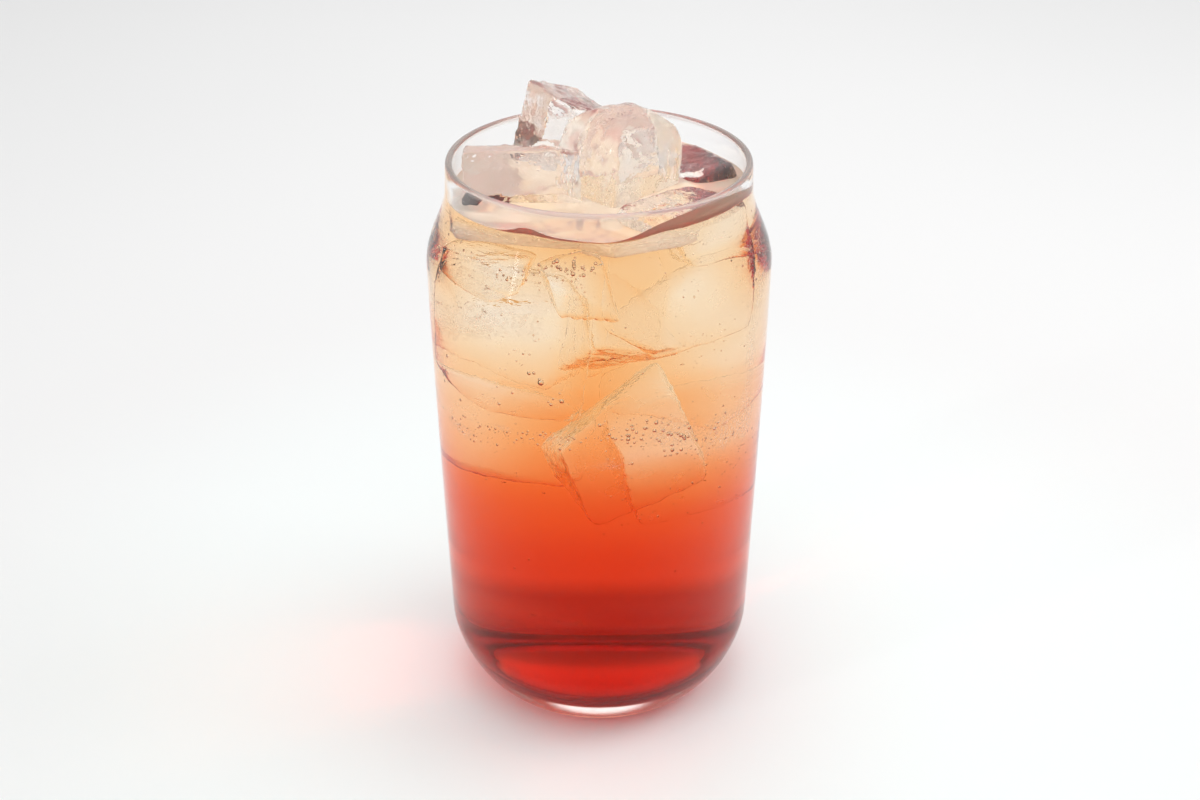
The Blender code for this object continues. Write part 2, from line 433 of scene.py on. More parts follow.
def mesh_object(name, points, *faces):
    """Make a smooth object from points and arrays of faces, each array of one corner count."""
    mesh = bpy.data.meshes.new(name)
    corners = np.concatenate([part.ravel() for part in faces]).astype(np.int32)
    counts = np.concatenate([np.full(len(part), part.shape[1]) for part in faces])
    starts = np.concatenate([[0], np.cumsum(counts)[:-1]]).astype(np.int32)
    mesh.vertices.add(len(points))
    mesh.loops.add(len(corners))
    mesh.polygons.add(len(counts))
    mesh.vertices.foreach_set("co", np.asarray(points, np.float32).ravel())
    mesh.polygons.foreach_set("loop_start", starts)
    mesh.polygons.foreach_set("vertices", corners)
    mesh.update(calc_edges=True)
    mesh.validate()
    mesh.shade_smooth()
    obj = bpy.data.objects.new(name, mesh)
    bpy.context.scene.collection.objects.link(obj)
    return obj


def mark(obj, name, values, domain="POINT"):
    """Store one number for each point or face of an object."""
    layer = obj.data.attributes.new(name, "FLOAT", domain)
    layer.data.foreach_set("value", np.asarray(values, np.float32))


def points_of(obj):
    """The points of an object's mesh, one row each."""
    points = np.empty(3 * len(obj.data.vertices), np.float32)
    obj.data.vertices.foreach_get("co", points)
    return points.reshape(-1, 3).astype(float)


def ring_object(name, rings, first, last):
    """Skin rings from a first pole over the outside to a last pole, each ring joined to the next."""
    count, around = rings.shape[:2]
    number = np.arange(count * around).reshape(count, around)
    beside = np.roll(number, -1, axis=1)
    quads = np.stack([number[:-1], number[1:], beside[1:], beside[:-1]], axis=-1).reshape(-1, 4)
    first_number = count * around
    start = np.column_stack([np.full(around, first_number), number[0], beside[0]])
    end = np.column_stack([np.full(around, first_number + 1), beside[-1], number[-1]])
    points = np.concatenate([rings.reshape(-1, 3), [first, last]])
    return mesh_object(name, points, quads, np.concatenate([start, end]))


def block_grid(cells):
    """Points and outward quads of a cube of side 2, each face split into cells both ways."""
    steps = np.arange(cells + 1)
    flat = np.stack(np.meshgrid(steps, steps, indexing="ij"), axis=-1)
    corners = []
    for axis in range(3):
        for side in (0, cells):
            sheet = np.insert(flat, axis, side, axis=-1)
            quads = np.stack([sheet[:-1, :-1], sheet[1:, :-1], sheet[1:, 1:], sheet[:-1, 1:]], axis=2)
            outward = (axis == 1) != (side == cells)
            corners.append(quads.reshape(-1, 4, 3)[:, :: 1 if outward else -1])
    lattice, number = np.unique(np.concatenate(corners).reshape(-1, 3), axis=0, return_inverse=True)
    return 2.0 * lattice / cells - 1.0, number.reshape(-1, 4)


def turned_axes(turn):
    """Unit axes of a block as columns, from its turn in degrees."""
    return np.array(Euler([math.radians(angle) for angle in turn], "XYZ").to_matrix())


def plain_faces(sides, axes):
    """Normals and distances of a block's six faces. The crown comes first."""
    normals = [axes[:, 2], -axes[:, 2], axes[:, 0], -axes[:, 0], axes[:, 1], -axes[:, 1]]
    reach = [0.5 * sides[2]] * 2 + [0.5 * sides[0]] * 2 + [0.5 * sides[1]] * 2
    return normals, reach


def floating_block(name):
    """A block that breaks the surface, with the flat faces where it meets its neighbours."""
    middle, sides, turn, crown = ICE[name]
    axes = turned_axes(turn)
    normals, reach = plain_faces(sides, axes)
    if name == "ice_peak":
        normals.append(np.array(PEAK_CROWN[0]))
        reach.append(PEAK_CROWN[1])
    for first, second, normal, along in PARTINGS:
        if name in (first, second):
            side = 1.0 if name == first else -1.0
            normal = np.array(normal) / np.linalg.norm(normal)
            normals.append(side * normal)
            reach.append(side * (along - normal @ np.array(middle)) - 0.5 * PARTING_GAP)
    return dict(name=name, middle=np.array(middle), sides=np.array(sides), axes=axes,
                normals=np.array(normals), reach=np.array(reach), crown=crown)


def sunk_block(name, others):
    """A sunk block, cut back by the flat face with the most room between it and each earlier block.

    The ways that are tried are the faces of both blocks and the line between their middles. The room
    along a way is how far the middle lies past the other block's furthest point, less the gap.
    """
    middle, sides, turn = SUNK_ICE[name]
    middle = np.array(middle)
    axes = turned_axes(turn)
    normals, reach = plain_faces(sides, axes)
    own = np.array(normals)
    for other in others:
        across = middle - other["middle"]
        ways = np.concatenate([own, other["normals"][:6], [across / np.linalg.norm(across)]])
        shell = block_points(other, cells=PARTING_CELLS)
        room = ways @ middle - (shell @ ways.T).max(axis=0) - 2.0 * PARTING_GAP
        best = int(np.argmax(room))
        normals.append(-ways[best])
        reach.append(max(room[best], PARTING_GAP))
    return dict(name=name, middle=middle, sides=np.array(sides), axes=axes,
                normals=np.array(normals), reach=np.array(reach), crown=ICE_SQUARENESS)


def block_reach(block, ways):
    """Distance from a block's middle to its rounded faces along unit ways.

    Each face's share of the way is the way's part along its normal over the face's distance. The
    shares, each to a high power, are added and the sum's root gives one over the distance.
    """
    part = np.clip(ways @ block["normals"].T, 0.0, None) / block["reach"]
    crown = block["crown"]
    sides = (part[:, 1:] ** ICE_SQUARENESS).sum(axis=1) ** (crown / ICE_SQUARENESS)
    return (sides + part[:, 0] ** crown) ** (-1.0 / crown)


def melt(points, seed, slow, fast):
    """Hollows from 0 to 1 left by melting: dimples, parted by ridges where a mean of waves is 0.

    The root of the size of the mean of random plane waves, first sharpened and levelled off by tanh.
    """
    chance = np.random.default_rng(seed)
    ways = chance.normal(size=(DENT_WAVES, 3))
    ways *= (chance.uniform(slow, fast, DENT_WAVES) / np.linalg.norm(ways, axis=1))[:, None]
    waves = np.sin(points @ ways.T + chance.uniform(0.0, 2.0 * math.pi, DENT_WAVES))
    return np.sqrt(abs(np.tanh(waves.mean(axis=1) * DENT_SHARPNESS)))


def block_points(block, grow=0.0, dents=0.0, cells=ICE_CELLS):
    """A block's points: reach along each way, less its melted hollows, and kept off the glass."""
    grid, _ = block_grid(cells)
    ways = (np.sin(grid * 0.5 * math.pi) * block["sides"]) @ block["axes"].T
    ways /= np.linalg.norm(ways, axis=1, keepdims=True)
    points = block["middle"] + ways * block_reach(block, ways)[:, None]
    seed = sum(block["name"].encode())
    hollow = dents * (melt(points, seed, *BROAD_DENTS) + FINE_SHARE * melt(points, seed, *FINE_DENTS))
    points += ways * (grow - hollow)[:, None]
    room = bore_radius(np.clip(points[:, 2], BORE_HEEL_Z, GLASS_HEIGHT)) - ICE_TO_GLASS + grow
    out = np.hypot(points[:, 0], points[:, 1])
    free = points[:, 2] > GLASS_HEIGHT + LIP_HEIGHT
    points[:, :2] *= np.where(free, 1.0, np.minimum(1.0, room / out))[:, None]
    return points


def all_blocks():
    """Every block of ice, those that break the surface first."""
    blocks = [floating_block(name) for name in ICE]
    for name in SUNK_ICE:
        blocks.append(sunk_block(name, blocks))
    return blocks


def ice_cutter(blocks, grow, dents):
    """One mesh of all the closed blocks, grown or shrunk, to cut room for the ice."""
    _, quads = block_grid(ICE_CELLS)
    points = [block_points(block, grow, dents) for block in blocks]
    faces = [quads + index * len(points[0]) for index in range(len(blocks))]
    return mesh_object("ice_cutter", np.concatenate(points), np.concatenate(faces))


def wetted_height(x, y):
    """Height of the wetted line on the wall, eased over a few degrees, in the way that a point lies."""
    angle = np.degrees(np.arctan2(x, -y))
    turns = (-WETTED_EASE, 0, WETTED_EASE)
    eased = [np.interp(angle + turn, WETTED_ANGLES, WETTED_HEIGHTS, period=360.0) for turn in turns]
    return sum(eased) / len(eased)


def past_block(points, block):
    """How far points lie past a block's skin, on the way from its middle. Inside it is less than 0."""
    offset = points - block["middle"]
    distance = np.linalg.norm(offset, axis=1)
    return distance - block_reach(block, offset / distance[:, None])


def drink_height(x, y, blocks, climb):
    """Height of the drink's surface.

    The still level, raised at the wall to the wetted line and at the ice by the climb. Both fade by
    a power of e over the creep length, and the root of the sum of their cubes lets the larger win.
    """
    out = np.hypot(x, y)
    wetted = wetted_height(x, y)
    shore = bore_radius(wetted)
    at_wall = (wetted - STILL_LEVEL) * np.exp(-np.clip(shore - out, 0.0, None) / CREEP_LENGTH)
    total = at_wall**3
    still = np.stack([x, y, np.full_like(x, STILL_LEVEL)], axis=-1).reshape(-1, 3)
    for block in blocks:
        away = np.clip(past_block(still, block), 0.0, None)
        total = total + (climb * np.exp(-away / CREEP_LENGTH)).reshape(x.shape) ** 3
    return STILL_LEVEL + np.cbrt(total)


def drink_rings(blocks, settings):
    """Rings of the drink: outward over its surface, down the wall and in over the floor."""
    turn = np.linspace(0.0, 2.0 * math.pi, SPOKES, endpoint=False)
    reach = settings.into_wall
    edge = bore_radius(np.full(SPOKES, STILL_LEVEL)) + reach
    for _ in range(EDGE_ROUNDS):
        height = drink_height(edge * np.cos(turn), edge * np.sin(turn), blocks, settings.ice_climb)
        edge = bore_radius(height) + reach
    share = 1.0 - (1.0 - np.linspace(0.0, 1.0, SURFACE_RINGS + 1)[1:, None]) ** RINGS_TO_EDGE
    x, y = share * edge * np.cos(turn), share * edge * np.sin(turn)
    surface = np.stack([x, y, drink_height(x, y, blocks, settings.ice_climb)], axis=-1)
    surface[-1, :, 2] = height
    fall = np.linspace(0.0, 1.0, WALL_STEPS + 1)[1:, None]
    levels = height + (BORE_HEEL_Z - height) * fall
    radius = bore_radius(levels) + reach
    wall = np.stack([radius * np.cos(turn), radius * np.sin(turn), levels], axis=-1)
    below_wall = slice(0, FLOOR_RINGS + BORE_HEEL_STEPS)
    below = turned_rings(bore_profile(reach, FLOOR_Z - reach, NECK_Z)[below_wall][::-1])
    return np.concatenate([surface, wall, below])


def absorption(colour):
    """Share of light taken each metre, from the colour of light that has crossed a centimetre."""
    return -np.log(np.clip(np.array(colour), 0.001, 1.0)) / CENTIMETRE


def syrup_shares(settings):
    """What each step of the syrup adds to the absorption, from the upper colour to the lowest."""
    soda, amber, syrup = (
        absorption(colour)
        for colour in (settings.soda_colour, settings.amber_colour, settings.syrup_colour)
    )
    steps = len(SYRUP_TOPS)
    upper = [(amber - soda) / AMBER_STEPS] * AMBER_STEPS
    lower = [(syrup - amber) / (steps - AMBER_STEPS)] * (steps - AMBER_STEPS)
    return upper + lower


def fill(sheet, taken):
    """A plain volume that takes the given share of light each metre."""
    density = float(max(taken))
    colour = tuple(1.0 - np.array(taken) / density)
    return sheet.add("VolumeAbsorption", None, {"Color": (*colour, 1.0), "Density": density})


def finish_material(sheet, surface, volume=None):
    """Wire a surface, and a volume if there is one, to the output."""
    sockets = {"Surface": surface}
    if volume is not None:
        sockets["Volume"] = volume
    sheet.add("OutputMaterial", None, sockets)


def place_of(sheet):
    """The point on the object, in metres."""
    return sheet.add("TexCoord", out=3)


def noise(sheet, scale, detail=2.0, roughness=0.5):
    """A noise from 0 to 1 over the object, of a scale in waves to the metre."""
    sockets = {"Vector": place_of(sheet), "Scale": scale, "Detail": detail, "Roughness": roughness}
    return sheet.add("TexNoise", None, sockets)


def attribute(sheet, name):
    """A number that is stored on the piece."""
    return sheet.add("Attribute", {"attribute_name": name}, out=2)


def mix_colours(sheet, share, first, second):
    """A colour between two, by the share of the second."""
    return sheet.add("Mix", {"data_type": "RGBA"}, {0: share, 6: first, 7: second}, out=2)


def mix_shaders(sheet, share, first, second):
    """A finish between two, by the share of the second."""
    return sheet.add("MixShader", None, {0: share, 1: first, 2: second})


def finish(sheet, colour, roughness, bend, through=0.0, **more):
    """A finish from its colour, roughness, bending of light and the share of light let through."""
    sockets = {"Base Color": colour, "Roughness": roughness, "IOR": bend, "Transmission Weight": through}
    return sheet.add("BsdfPrincipled", None, sockets | more)


def clear_finish(sheet, colour, roughness, bend, normal):
    """A wholly clear finish."""
    sockets = {"Color": colour, "Roughness": roughness, "IOR": bend, "Normal": normal}
    return sheet.add("BsdfGlass", None, sockets)


def glass_material():
    """Clear glass, dry and wetted: slow waves, smudges, and painted light: orange in the ground foot, warm
    on the lip.
    """
    material, sheet = material_sheet("Clear pressed glass")
    smudge = noise(sheet, 60.0, 1.0).between(0.55, 0.80)
    waves = noise(sheet, 45.0, 0.0)
    bump = sheet.add("Bump", None, {"Strength": 0.12, "Distance": 0.0004, "Height": waves})
    height = sheet.add("SeparateXYZ", None, {"Vector": place_of(sheet)}, out=2)
    # Painted light: the orange towards the foot stands for the drink's colour caught in the heel
    tint = sheet.add("ValToRGB", {"stops": GLASS_TINTS_AND_FOOT_GLOW}, {"Fac": height * (2.0 / GLASS_HEIGHT)})
    ground = 1.0 - 0.6 * height.between(0.0004, 0.0026) - 0.4 * height.between(0.0060, 0.0150)
    dull = 0.012 * smudge + 0.30 * ground
    more = {"Normal": bump, "Specular Tint": (0.2, 0.2, 0.2, 1.0)}
    dry = finish(sheet, tint, dull, GLASS_BEND, 1.0, **more)
    wet = finish(sheet, tint, dull, GLASS_BEND / WATER_BEND, 1.0, **more)
    # Painted light: a warm opaque finish on the clear lip, for the warm light seen in the rim
    lip = finish(sheet, LIP_GLOW_COLOUR, 0.05, GLASS_BEND)
    dry = mix_shaders(sheet, 0.34 * height.between(*LIP_GLOW_REACH), dry, lip)
    finish_material(sheet, wet_or_dry(sheet, dry, wet))
    return material


def wet_or_dry(sheet, dry, wet):
    """Two finishes parted by the line where a piece enters the drink."""
    under = sheet.add("Math", {"operation": "GREATER_THAN"}, {0: attribute(sheet, "depth"), 1: 0.0})
    return mix_shaders(sheet, under, dry, wet)


def ice_material(frost):
    """Clear ice, dry and wet: frosted patches, crinkles, a fine grain and milky undersides."""
    material, sheet = material_sheet("Clear wet ice")
    patch = noise(sheet, 110.0, 2.0, 0.65).between(0.50, 0.72)
    crinkle = noise(sheet, 75.0, 0.0).between(0.45, 0.62)
    grain = noise(sheet, 1000.0, 1.0, 0.6)
    waves = noise(sheet, 330.0, 2.0, 0.6)
    relief = (0.5 + crinkle) * waves + 0.20 * grain * (0.25 + patch)
    bump = sheet.add("Bump", None, {"Strength": 0.7, "Distance": 0.0007, "Height": relief})
    cloudy = noise(sheet, 160.0, 1.0).between(0.40, 0.60)
    cloud = mix_colours(sheet, cloudy, (1.0, 1.0, 1.0, 1.0), (1.0, 0.965, 0.935, 1.0))
    dull = frost * (patch * grain)
    dry = finish(sheet, cloud, dull, ICE_BEND, 0.90, Normal=bump)
    wet = clear_finish(sheet, (0.995, 0.993, 0.990, 1.0), dull + 0.25 * patch, ICE_BEND / WATER_BEND, bump)
    frosted = finish(sheet, (1.0, 0.99, 0.975, 1.0), 0.35, 1.0, 0.05, Normal=bump)
    wet = mix_shaders(sheet, attribute(sheet, "milk") * (0.80 + 0.15 * patch), wet, frosted)
    finish_material(sheet, wet_or_dry(sheet, dry, wet))
    return material


def drink_material(settings):
    """The drink: where the glass holds it, a tint that reddens downwards, darkened low down by painted
    shade, with a dark ring of painted shade and froth.

    Where it is open to the air it bends light as water does. Its body takes light evenly.
    """
    material, sheet = material_sheet("Layered drink")
    height = sheet.add("SeparateXYZ", None, {"Vector": place_of(sheet)}, out=2)
    drift = noise(sheet, 40.0, 1.0)
    level = (height + BLEND_DRIFT * (drift - 0.5)).between(*BLEND)
    # The drink's own colour, darkened low down by painted shade for the dim light under the glass
    tint = sheet.add("ValToRGB", {"stops": DRINK_TINTS_AND_SHADE}, {"Fac": level})
    # Painted shade: a dark ring low down where the drink meets the wall, broken up by noise
    ring = height.between(*SHADE_RING_START) - height.between(*SHADE_RING_END)
    ring = ring * (0.55 + 0.45 * noise(sheet, 26.0, 1.0).between(0.35, 0.65))
    tint = mix_colours(sheet, ring, tint, SHADE_RING_COLOUR)
    colour = mix_colours(sheet, attribute(sheet, "wall"), (1.0, 0.99, 0.98, 1.0), tint)
    ripples = noise(sheet, 300.0, 0.0)
    bump = sheet.add("Bump", None, {"Strength": 0.15, "Distance": 0.0002, "Height": ripples})
    held = finish(sheet, colour, 0.0, 1.0, 1.0)
    beads = noise(sheet, 1500.0, 0.0).between(0.40, 0.62)
    fizz = attribute(sheet, "fizz")
    uneven = 0.8 * (noise(sheet, 260.0, 1.0, 0.6) - 0.5) * fizz.between(0.0, 0.3)
    fizz = (fizz + uneven).between(0.15, 0.75)
    foam = finish(sheet, (1.0, 0.95, 0.90, 1.0), 0.4, 1.0, 0.35)
    held = mix_shaders(sheet, FOAM_STRENGTH * fizz * (0.35 + 0.65 * beads), held, foam)
    free = finish(sheet, (1.0, 0.84, 0.67, 1.0), 0.0, WATER_BEND, 0.52, Normal=bump)
    surface = mix_shaders(sheet, attribute(sheet, "open"), held, free)
    finish_material(sheet, surface, fill(sheet, absorption(settings.soda_colour)))
    return material


def syrup_material(name, taken):
    """One step of syrup: no surface of its own, only what it takes from the light."""
    material, sheet = material_sheet(name)
    surface = finish(sheet, (1.0, 1.0, 1.0, 1.0), 0.0, 1.0, 1.0)
    finish_material(sheet, surface, fill(sheet, taken))
    return material


def bubble_material(name, round_it):
    """Air in a clear stuff: light bends away as it enters."""
    material, sheet = material_sheet(name)
    film = sheet.add("Bump", None, {"Strength": 0.1, "Distance": 0.00005, "Height": noise(sheet, 9000.0)})
    finish_material(sheet, clear_finish(sheet, (0.99, 0.98, 0.97, 1.0), 0.0, 1.0 / round_it, film))
    return material


def dress(obj, material, slot, *nodes):
    """Give a piece its material, let it ride on the glass and stand for its solids."""
    obj.data.materials.clear()
    obj.data.materials.append(material)
    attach(obj, "root")
    if nodes:
        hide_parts(*nodes)


def cut_away(obj, cutter):
    """Cut a closed cutter out of a closed object and keep the result as its mesh."""
    cut = obj.modifiers.new("Room for ice", "BOOLEAN")
    cut.operation = "DIFFERENCE"
    cut.solver = "MANIFOLD"
    cut.object = cutter
    bpy.context.view_layer.update()
    ready = obj.evaluated_get(bpy.context.evaluated_depsgraph_get())
    mesh = bpy.data.meshes.new_from_object(ready)
    obj.modifiers.clear()
    if len(mesh.polygons) <= len(obj.data.polygons):
        raise RuntimeError(obj.name + " took no cut from the ice")
    old, obj.data = obj.data, mesh
    bpy.data.meshes.remove(old)
    mesh.name = obj.name
    mesh.shade_smooth()
    mesh.set_sharp_from_angle(angle=SHARP_ANGLE)


def bubbles_object(name, middles, sizes):
    """Small balls of a few dozen faces each, in one mesh."""
    grid, quads = block_grid(BUBBLE_CELLS)
    ball = np.tan(grid * 0.25 * math.pi)
    ball /= np.linalg.norm(ball, axis=1, keepdims=True)
    points = middles[:, None, :] + sizes[:, None, None] * ball
    faces = quads + np.arange(len(middles))[:, None, None] * len(ball)
    return mesh_object(name, points.reshape(-1, 3), faces.reshape(-1, 4))


def clear_of_ice(points, sizes, blocks):
    """Which balls keep out of every block of ice."""
    clear = np.full(len(points), True)
    for block in blocks:
        clear &= past_block(points, block) > sizes + BUBBLE_ROOM
    return clear


class MakeGlass(bpy.types.Operator):
    """Turn the glass from its outline"""

    bl_idname = "iced_drink.make_glass"
    bl_label = "Glass"

    def execute(self, context):
        rings = turned_rings(glass_profile())
        glass = ring_object("drinking_glass", rings, (0.0, 0.0, FLOOR_Z), (0.0, 0.0, PUNT_DEPTH))
        points = points_of(glass)
        inside = len(bore_profile(0.0, FLOOR_Z, GLASS_HEIGHT)) * SPOKES
        outside = np.arange(len(points)) >= inside
        outside[-2] = False
        depth = wetted_height(points[:, 0], points[:, 1]) - points[:, 2]
        mark(glass, "depth", np.where(outside, -1.0, depth))
        dress(glass, glass_material(), "glass", "glass")
        return {"FINISHED"}


class MakeIce(bpy.types.Operator):
    """Make the blocks of ice that stand above the drink and those that are sunk in it"""

    bl_idname = "iced_drink.make_ice"
    bl_label = "Ice"

    def execute(self, context):
        settings = context.scene.iced_drink
        material = ice_material(settings.frost)
        _, quads = block_grid(ICE_CELLS)
        blocks = all_blocks()
        for block in blocks:
            points = block_points(block, dents=settings.ice_dents)
            name = block["name"] + "_clear" if block["name"] in ICE else block["name"]
            obj = mesh_object(name, points, quads)
            height = drink_height(points[:, 0], points[:, 1], blocks[: len(ICE)], settings.ice_climb)
            mark(obj, "depth", height - points[:, 2])
            up = (points - block["middle"]) @ block["axes"][:, 2] / (0.5 * block["sides"][2])
            milk = np.clip((MILK_LEVEL - up) / MILK_FADE, 0.0, 1.0)
            mark(obj, "milk", (block["name"] in MILKY_ICE) * milk)
            dress(obj, material, "ice", *([block["name"]] if block["name"] in ICE else []))
        return {"FINISHED"}


class PourDrink(bpy.types.Operator):
    """Fill the glass with the drink, cut round the ice, and with the syrup's steps inside it"""

    bl_idname = "iced_drink.pour_drink"
    bl_label = "Drink"

    # Spots of fine froth on the wall: degrees from the front, height, reach both ways and strength
    FROTH = (
        (-76.0, 0.1150, 12.0, 0.0045, 0.9),
        (-50.0, 0.1185, 14.0, 0.0016, 0.8),
        (-24.0, 0.1200, 12.0, 0.0014, 0.8),
        (70.0, 0.1150, 9.0, 0.0080, 0.9),
        (62.0, 0.0960, 6.0, 0.0200, 0.6),
        (50.0, 0.0790, 16.0, 0.0050, 0.9),
        (24.0, 0.0840, 10.0, 0.0040, 0.7),
        (-56.0, 0.0775, 10.0, 0.0014, 0.8),
        (-22.0, 0.0830, 16.0, 0.0006, 0.9),
        (-70.0, 0.0920, 10.0, 0.0060, 0.6),
        (4.0, 0.0775, 6.0, 0.0012, 0.7),
        (-12.0, 0.0348, 9.0, 0.0005, 0.8),
        (160.0, 0.1130, 22.0, 0.0050, 0.8),
        (-150.0, 0.0850, 26.0, 0.0050, 0.8),
        (120.0, 0.0900, 14.0, 0.0080, 0.7),
    )

    def execute(self, context):
        settings = context.scene.iced_drink
        blocks = all_blocks()
        rings = drink_rings(blocks[: len(ICE)], settings)
        height = float(drink_height(np.zeros(1), np.zeros(1), blocks[: len(ICE)], settings.ice_climb)[0])
        drink = ring_object("drink", rings, (0.0, 0.0, height), (0.0, 0.0, FLOOR_Z - settings.into_wall))
        number = np.arange(len(drink.data.polygons))
        first_pole = (len(rings) - 1) * SPOKES
        at_pole = (number >= first_pole) & (number < first_pole + SPOKES)
        is_open = (number < (SURFACE_RINGS - 1) * SPOKES) | at_pole
        mark(drink, "open", is_open, "FACE")
        mark(drink, "wall", ~is_open, "FACE")
        mark(drink, "fizz", self.fizz_at(points_of(drink)))
        cutter = ice_cutter(blocks, -settings.ice_into_drink, settings.ice_dents)
        cut_away(drink, cutter)
        bpy.data.objects.remove(cutter)
        dress(drink, drink_material(settings), "soda", "soda_layer", "syrup_layer")
        self.add_syrup(settings, blocks)
        return {"FINISHED"}

    def fizz_at(self, points):
        """Share of the wall under fine froth: the sum of soft spots, each a bell curve both ways."""
        angle = np.degrees(np.arctan2(points[:, 0], -points[:, 1]))
        share = np.zeros(len(points))
        for middle, height, wide, high, strength in self.FROTH:
            across = (angle - middle + 180.0) % 360.0 - 180.0
            share += strength * np.exp(-((across / wide) ** 2) - ((points[:, 2] - height) / high) ** 2)
        return share

    def layer_wave(self, rings, index):
        """Slow waves in the top of a step: the mean of three plane waves that run across the glass."""
        chance = np.random.default_rng(31 + index)
        ways = chance.normal(size=(3, 2))
        ways *= (chance.uniform(90.0, 260.0, 3) / np.linalg.norm(ways, axis=1))[:, None]
        return SYRUP_WAVE * np.sin(rings[..., :2] @ ways.T + chance.uniform(0.0, 6.0, 3)).mean(axis=-1)

    def add_syrup(self, settings, blocks):
        """Nest the steps of syrup, each a little further in than the last."""
        sunk = blocks[len(ICE):]
        for index, (top, taken) in enumerate(zip(SYRUP_TOPS, syrup_shares(settings))):
            inset = SYRUP_INSET + SYRUP_STEP * index
            profile = bore_profile(-inset, FLOOR_Z + inset, top)
            out = profile[-1, 0] * np.linspace(0.95, 0.05, SYRUP_RINGS)
            across = np.column_stack([out, np.full(SYRUP_RINGS, top)])
            rings = turned_rings(np.concatenate([profile, across]))[::-1]
            ease = np.clip((rings[..., 2] - top) / SYRUP_EASE + 1.0, 0.0, 1.0)
            rings[..., 2] += self.layer_wave(rings, index) * ease
            name = "syrup_step_" + str(index + 1)
            step = ring_object(name, rings, (0.0, 0.0, top), (0.0, 0.0, FLOOR_Z + inset))
            if top - SYRUP_WAVE > min(block_points(block)[:, 2].min() for block in sunk):
                cutter = ice_cutter(sunk, inset, settings.ice_dents)
                cut_away(step, cutter)
                bpy.data.objects.remove(cutter)
            dress(step, syrup_material("Syrup step " + str(index + 1), taken), "syrup")


